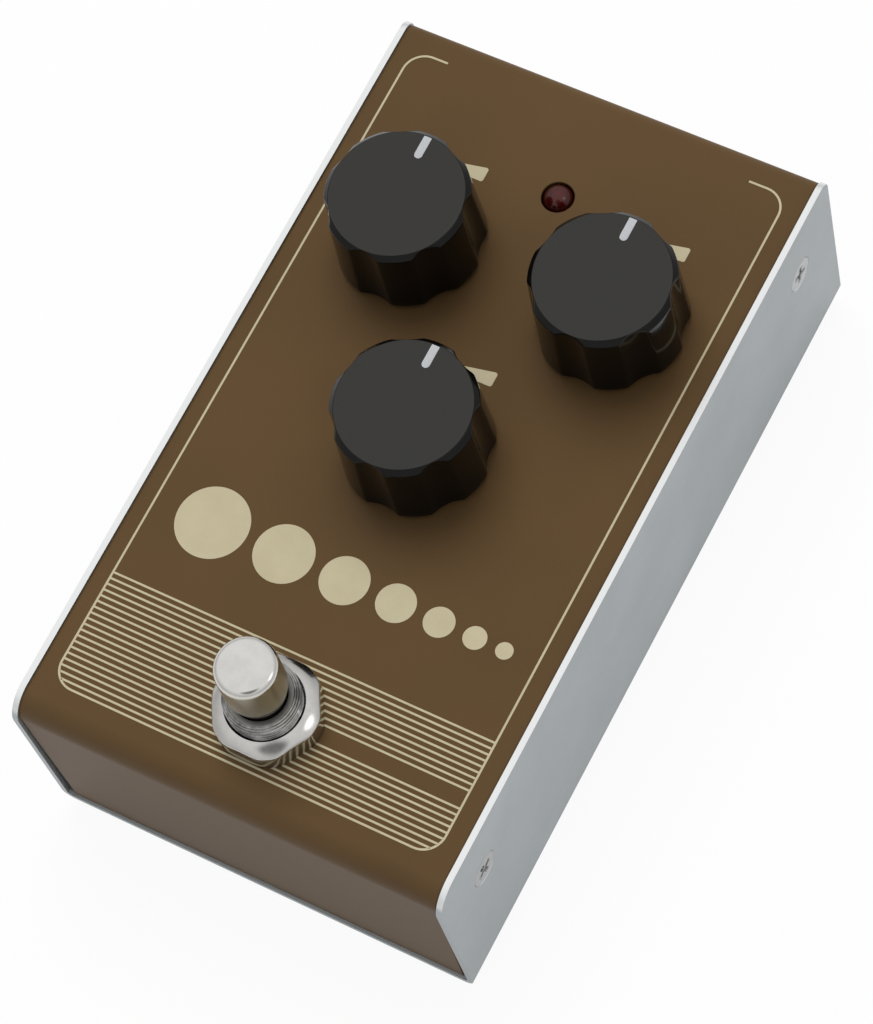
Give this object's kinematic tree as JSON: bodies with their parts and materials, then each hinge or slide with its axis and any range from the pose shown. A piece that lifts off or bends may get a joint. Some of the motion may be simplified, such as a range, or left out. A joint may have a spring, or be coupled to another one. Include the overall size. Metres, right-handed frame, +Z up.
{
  "type": "analog delay pedal",
  "caption": "Guitar effect pedal in a folded metal case, with fluted knobs on turning controls, a sprung footswitch, a status lamp, and jacks and a power inlet in its rear wall.",
  "frame": {"origin": "on the floor, under the middle of the pedal's bounding box", "axes": "+X to the player's right, +Y from the footswitch end to the socket end, +Z up"},
  "size_m": [0.0744, 0.1324, 0.0607],
  "materials": {
    "brown_paint": "satin",
    "plate_steel": "satin",
    "nickel": "polished",
    "tinned": "bright",
    "black_gloss": "gloss",
    "white_inlay": "matte",
    "red_lens": "clear gloss",
    "black_rubber": "matte",
    "board_green": "satin",
    "dark_plastic": "matte",
    "blue_plastic": "matte",
    "grey_ribbon": "matte"
  },
  "bodies": {
    "enclosure": {"base_tray": "plate_steel", "top_cover": "brown_paint", "screw_brackets": "brown_paint", "case_screws": "nickel", "rubber_feet": "black_rubber", "time_pot": "plate_steel", "mix_pot": "plate_steel", "repeats_pot": "plate_steel", "pot_nuts": "nickel", "pot_washers": "nickel", "pot_pins": "tinned", "status_lamp": "red_lens", "lamp_leads": "tinned", "footswitch_spring": "tinned", "footswitch_bushing": "nickel", "footswitch_nut": "nickel", "footswitch_back_nut": "nickel", "footswitch_lock_washer": "nickel", "footswitch_frame": "plate_steel", "footswitch_housing": "blue_plastic", "footswitch_lugs": "tinned", "main_board": "board_green", "switch_board": "board_green", "board_ribbon": "grey_ribbon", "chips": "dark_plastic", "capacitors": "dark_plastic", "input_jack_body": "dark_plastic", "input_jack_sleeve": "nickel", "input_jack_contact": "tinned", "output_jack_body": "dark_plastic", "output_jack_sleeve": "nickel", "output_jack_contact": "tinned", "jack_nuts": "nickel", "jack_washers": "nickel", "power_jack_body": "dark_plastic", "power_jack_pin": "nickel"},
    "time_control": {"time_knob": "black_gloss", "time_pointer": "white_inlay", "time_shaft": "nickel"},
    "mix_control": {"mix_knob": "black_gloss", "mix_pointer": "white_inlay", "mix_shaft": "nickel"},
    "repeats_control": {"repeats_knob": "black_gloss", "repeats_pointer": "white_inlay", "repeats_shaft": "nickel"},
    "footswitch_button": {"footswitch_plunger": "nickel"}
  },
  "joints": [
    {"name": "time_turn", "type": "hinge", "parent": "enclosure", "child": "time_control", "pos_m": [-0.0177, 0.02895, 0.0413], "axis": [0, 0, 1], "range_deg": [-150, 150]},
    {"name": "mix_turn", "type": "hinge", "parent": "enclosure", "child": "mix_control", "pos_m": [0.0177, 0.02895, 0.0413], "axis": [0, 0, 1], "range_deg": [-150, 150]},
    {"name": "repeats_turn", "type": "hinge", "parent": "enclosure", "child": "repeats_control", "pos_m": [0, -0.00195, 0.0413], "axis": [0, 0, 1], "range_deg": [-150, 150]},
    {"name": "footswitch_press", "type": "slide", "parent": "enclosure", "child": "footswitch_button", "axis": [0, 0, -1], "range_m": [0, 0.0012], "stiffness_N_per_m": 2000, "deforming": ["footswitch_spring"]}
  ]
}
